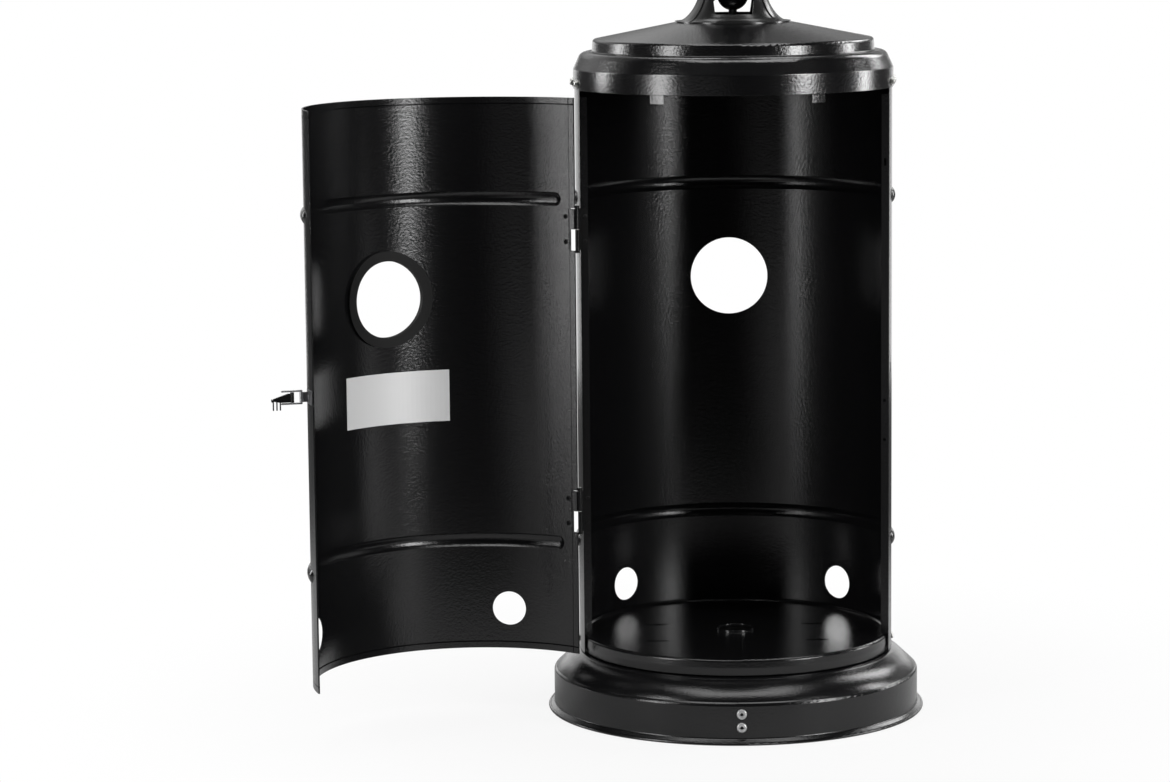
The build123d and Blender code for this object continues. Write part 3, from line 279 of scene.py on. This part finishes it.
FINISHES = {
    black_cap: ["cap"],
    black_base: ["base_shell"],
    black_door: ["door_shell", "door_hinge_leaves"],
    black_satin: ["rear_shell", "floor_pan", "post", "control_housing"],
    black_plain: ["floor_support_bar", "jamb_hinge_leaves", "jamb_rivets", "door_rivets", "latch_lever"],
    screw_zinc: ["skirt_screws"],
    zinc: ["skirt_nuts", "shell_screws", "cap_screws", "cap_washers", "neck_bolts", "riser_washers",
           "post_screws", "burner_bracket", "housing_screws", "hinge_pins"],
    latch_steel: ["latch_base", "latch_rivets", "latch_bail"],
    chrome: ["reflector_nuts"],
    steel: ["gas_riser", "venturi_tube", "burner_plate", "burner_head", "pilot_bracket", "thermocouple",
            "emitter_screen", "emitter_top", "reflector_studs", "valve_shaft"],
    aluminium: ["reflector", "gas_valve"],
    brass: ["riser_nuts", "hose_nipple", "thrust_washer"],
    casting: ["neck", "riser_ball"],
    rubber: ["window_trim"],
    plastic: ["igniter_module", "tilt_switch", "control_knob", "igniter_button"],
    ceramic: ["spark_electrode"],
}
for material, names in FINISHES.items():
    for name in names:
        for slot in NODES[name].material_slots:
            slot.link = "OBJECT"
            slot.material = material


# Camera: the photograph's own angle, as a turn about the heater's axis
FOCAL_PIXELS = 3655.3
IMAGE_WIDTH = 1170.0
SENSOR_WIDTH = 36.0
CAMERA_DISTANCE = 23.092 * HOUSING_R * MM
CAMERA_HEIGHT = 5.251 * HOUSING_R * MM
CAMERA_YAW = radians(2.361)
CAMERA_PITCH = radians(7.930)
CAMERA_ROLL = radians(-0.5615)
CAMERA_REACH = 200.0
HEATER_TURN = radians(1.862)


def make_camera():
    ahead = cos(CAMERA_PITCH)
    forward = Vector((-sin(CAMERA_YAW) * ahead, cos(CAMERA_YAW) * ahead, -sin(CAMERA_PITCH)))
    level = Vector((cos(CAMERA_YAW), sin(CAMERA_YAW), 0.0))
    up = level.cross(forward)
    across = cos(CAMERA_ROLL) * level + sin(CAMERA_ROLL) * up
    upright = -sin(CAMERA_ROLL) * level + cos(CAMERA_ROLL) * up
    turn = Matrix.Rotation(-HEATER_TURN, 4, "Z")
    facing = Matrix((across, upright, -forward)).transposed().to_4x4()
    place = Matrix.Translation(Vector((0.0, -CAMERA_DISTANCE, CAMERA_HEIGHT)))
    data = bpy.data.cameras.new("camera")
    data.sensor_fit = "HORIZONTAL"
    data.sensor_width = SENSOR_WIDTH
    data.lens = FOCAL_PIXELS / IMAGE_WIDTH * SENSOR_WIDTH
    data.clip_end = CAMERA_REACH
    camera = bpy.data.objects.new("camera", data)
    camera.matrix_world = turn @ place @ facing
    bpy.context.collection.objects.link(camera)
    bpy.context.scene.camera = camera


make_camera()


# Floor: white where the camera sees it, with the heater's soft shadow. Its colour holds painted shade,
# darker in front and far behind, and painted light on the left, so the light it throws on the paint is
# strong near the heater and on the left, and weak in front and far behind. Lengths are in metres.
FLOOR_HALF = 60.0
FLOOR_Z = -0.0005
FLOOR_WHITE = 0.62
SHADOW_SPAN = (0.25, 0.9)
SHADOW_WHITE = 0.88
FRONT_SPAN = (-1.0, -0.26)
FRONT_SHADE_SHARE = 0.05
LEFT_SPAN = (-0.5, -1.3)
LEFT_LIGHT_SHARE = 0.8
BACK_SPAN = (0.4, 1.3)
BACK_SHADE_SHARE = 0.12
GLOW_SPAN = (0.2, 1.2)
GLOW_LEVEL = 0.05


def make_floor():
    corners = [(-1, -1), (1, -1), (1, 1), (-1, 1)]
    mesh = bpy.data.meshes.new("floor")
    mesh.from_pydata([(FLOOR_HALF * x, FLOOR_HALF * y, FLOOR_Z) for x, y in corners], [], [(0, 1, 2, 3)])
    floor = bpy.data.objects.new("floor", mesh)
    bpy.context.collection.objects.link(floor)
    white = (FLOOR_WHITE, FLOOR_WHITE, FLOOR_WHITE)
    material = finish("pale_floor", white, 1.0, specular=0.0)
    graph = Graph(material.node_tree)
    shader = graph.nodes["Principled BSDF"]
    place = graph.place()
    right, back, _ = graph.axes(place)
    # Painted light and shade in the floor's colour: dark in front and far behind, lighter on the left
    front_share = graph.ramp(back, FRONT_SPAN, (FRONT_SHADE_SHARE, 1.0))
    left_share = graph.ramp(right, LEFT_SPAN, (0.0, LEFT_LIGHT_SHARE))
    back_share = graph.ramp(back, BACK_SPAN, (1.0, BACK_SHADE_SHARE))
    share = graph.math("MULTIPLY", graph.math("MAXIMUM", front_share, left_share), back_share)
    shade = graph.mixed("RGBA", share, (0.0, 0.0, 0.0, 1.0), (*white, 1.0))
    graph.feed_all(shader, Base_Color=shade)
    camera, mirrored = graph.seen_rays()
    reach = graph.vector("LENGTH", place, output="Value")
    seen_white = graph.math("MULTIPLY", camera, graph.ramp(reach, SHADOW_SPAN, (SHADOW_WHITE, 1.0)))
    glow = graph.math("MULTIPLY", mirrored, graph.ramp(back, GLOW_SPAN, (0.0, GLOW_LEVEL)))
    bright = graph.add("ShaderNodeEmission")
    graph.feed_all(bright, Color=(1.0, 1.0, 1.0, 1.0))
    mix = graph.add("ShaderNodeMixShader")
    sides = (graph.math("MAXIMUM", seen_white, glow), shader.outputs["BSDF"], bright.outputs["Emission"])
    for socket, value in zip(mix.inputs, sides):
        graph.feed(socket, value)
    graph.feed_all(graph.nodes["Material Output"], Surface=mix.outputs["Shader"])
    floor.data.materials.append(material)


# Room: white to the camera. The paint mirrors a backdrop behind the heater, which is dim at the horizon and
# dark overhead and on the upper right, and a dim room in front. The spans are of a ray's direction.
ROOM_LIGHT = 0.14
DIM_ROOM = 0.006
BEHIND_SPAN = (0.0, 0.4)
OVERHEAD_SPAN = (0.92, 0.40)
UPPER_SPAN = (0.22, 0.36)
RIGHT_SPAN = (-0.07, 0.05)
RIGHT_SHADE = 0.85
HORIZON_SPAN = (0.12, 0.30)
HORIZON_LEVEL = 0.25
BACKDROP_LEVEL = 0.75


def make_room():
    world = bpy.data.worlds.new("room")
    world.use_nodes = True
    graph = Graph(world.node_tree)
    background = graph.nodes["Background"]
    graph.feed_all(background, Color=(1.0, 1.0, 1.0, 1.0))
    right, back, up = graph.axes(graph.place("Generated"))
    right_shade = graph.ramp(right, RIGHT_SPAN, (0.0, RIGHT_SHADE))
    upper_right = graph.math("MULTIPLY", graph.ramp(up, UPPER_SPAN), right_shade)
    unshaded = graph.math("SUBTRACT", 1.0, upper_right)
    backdrop = graph.math("MULTIPLY", graph.ramp(up, OVERHEAD_SPAN), unshaded)
    backdrop = graph.math("MULTIPLY", graph.ramp(back, BEHIND_SPAN), backdrop)
    by_height = graph.ramp(up, HORIZON_SPAN, (HORIZON_LEVEL, BACKDROP_LEVEL))
    backdrop = graph.math("MULTIPLY", backdrop, by_height)
    backdrop = graph.math("MAXIMUM", backdrop, DIM_ROOM)
    camera, mirrored = graph.seen_rays()
    lighting = graph.math("MULTIPLY", graph.math("SUBTRACT", 1.0, mirrored), ROOM_LIGHT)
    level = graph.math("ADD", graph.math("MULTIPLY", mirrored, backdrop), lighting)
    graph.feed_all(background, Strength=graph.math("MAXIMUM", level, camera))
    bpy.context.scene.world = world


# Lamps round the heater, in metres, degrees and watts; their own sizes are width and length
AIM_HEIGHT = 0.45
SOFT_BOXES = {
    "right_box": dict(azimuth=50.0, distance=7.0, height=2.2, width=1.35, length=4.2, power=310.0),
    "left_box": dict(azimuth=-53.5, distance=3.0, height=1.25, width=0.66, length=2.5, power=44.0),
    "right_side_box": dict(azimuth=104.0, distance=3.0, height=1.1, width=0.5, length=1.6, power=33.0),
    "left_side_box": dict(azimuth=-106.0, distance=3.0, height=1.1, width=0.5, length=1.6, power=24.0),
    "top_box": dict(azimuth=8.0, distance=0.6, height=4.0, width=3.2, length=2.4, power=90.0),
    "rear_top_box": dict(azimuth=180.0, distance=1.8, height=4.0, width=2.4, length=1.4, power=30.0),
    "rim_box": dict(azimuth=135.0, distance=3.0, height=2.3, width=1.0, length=1.4, power=30.0),
    "left_edge_box": dict(azimuth=-163.0, distance=3.0, height=0.46, width=1.4, length=0.9, power=4.4),
    "right_edge_box": dict(azimuth=163.0, distance=3.0, height=0.46, width=1.4, length=0.9, power=4.6),
}


def soft_box(name, azimuth, distance, height, width, length, power):
    """A rectangular lamp that faces the housing."""
    angle = radians(azimuth)
    place = Vector((distance * sin(angle), -distance * cos(angle), height))
    data = bpy.data.lights.new(name, "AREA")
    data.shape = "RECTANGLE"
    data.size = width
    data.size_y = length
    data.energy = power
    lamp = bpy.data.objects.new(name, data)
    towards = Vector((0.0, 0.0, AIM_HEIGHT)) - place
    lamp.matrix_world = Matrix.Translation(place) @ towards.to_track_quat("-Z", "Y").to_matrix().to_4x4()
    bpy.context.collection.objects.link(lamp)


make_floor()
make_room()
for name, settings in SOFT_BOXES.items():
    soft_box(name, **settings)

bpy.context.scene.view_settings.view_transform = "Standard"


# Data plate: a bare silver plate inside the door, modelled on the closed door in millimetres and degrees
PLATE_AZIMUTHS = (-25.2, 18.4)
PLATE_HEIGHTS = (358.0, 421.0)
PLATE_THICKNESS = 0.3
PLATE_STEPS = 24


def wall_sheet(name, radius, azimuths, heights, thickness, steps):
    """A thin sheet lying on the inside of a round wall, swung open with the door."""
    start, end = azimuths
    corners = 4
    points = []
    for step in range(steps + 1):
        azimuth = start + (end - start) * step / steps
        for face_radius in (radius, radius - thickness):
            points.extend(wall_point(face_radius, azimuth, height) for height in heights)
    faces = []
    for step in range(steps):
        here = step * corners
        there = here + corners
        for first, second in ((2, 3), (1, 0), (3, 1), (0, 2)):
            faces.append((here + first, here + second, there + second, there + first))
    last = steps * corners
    faces.append((0, 1, 3, 2))
    faces.append((last + 1, last, last + 2, last + 3))
    mesh = bpy.data.meshes.new(name)
    mesh.from_pydata(points, [], faces)
    mesh.transform(door_swing())
    piece = bpy.data.objects.new(name, mesh)
    bpy.context.collection.objects.link(piece)
    return piece


def make_plate():
    plate = wall_sheet("data_plate", HOUSING_R - WALL_SHEET, PLATE_AZIMUTHS, PLATE_HEIGHTS, PLATE_THICKNESS,
                       PLATE_STEPS)
    plate.data.materials.append(finish("satin_silver_plate", (0.72, 0.72, 0.72), 0.45, metallic=0.2))
    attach(plate, "door")


make_plate()
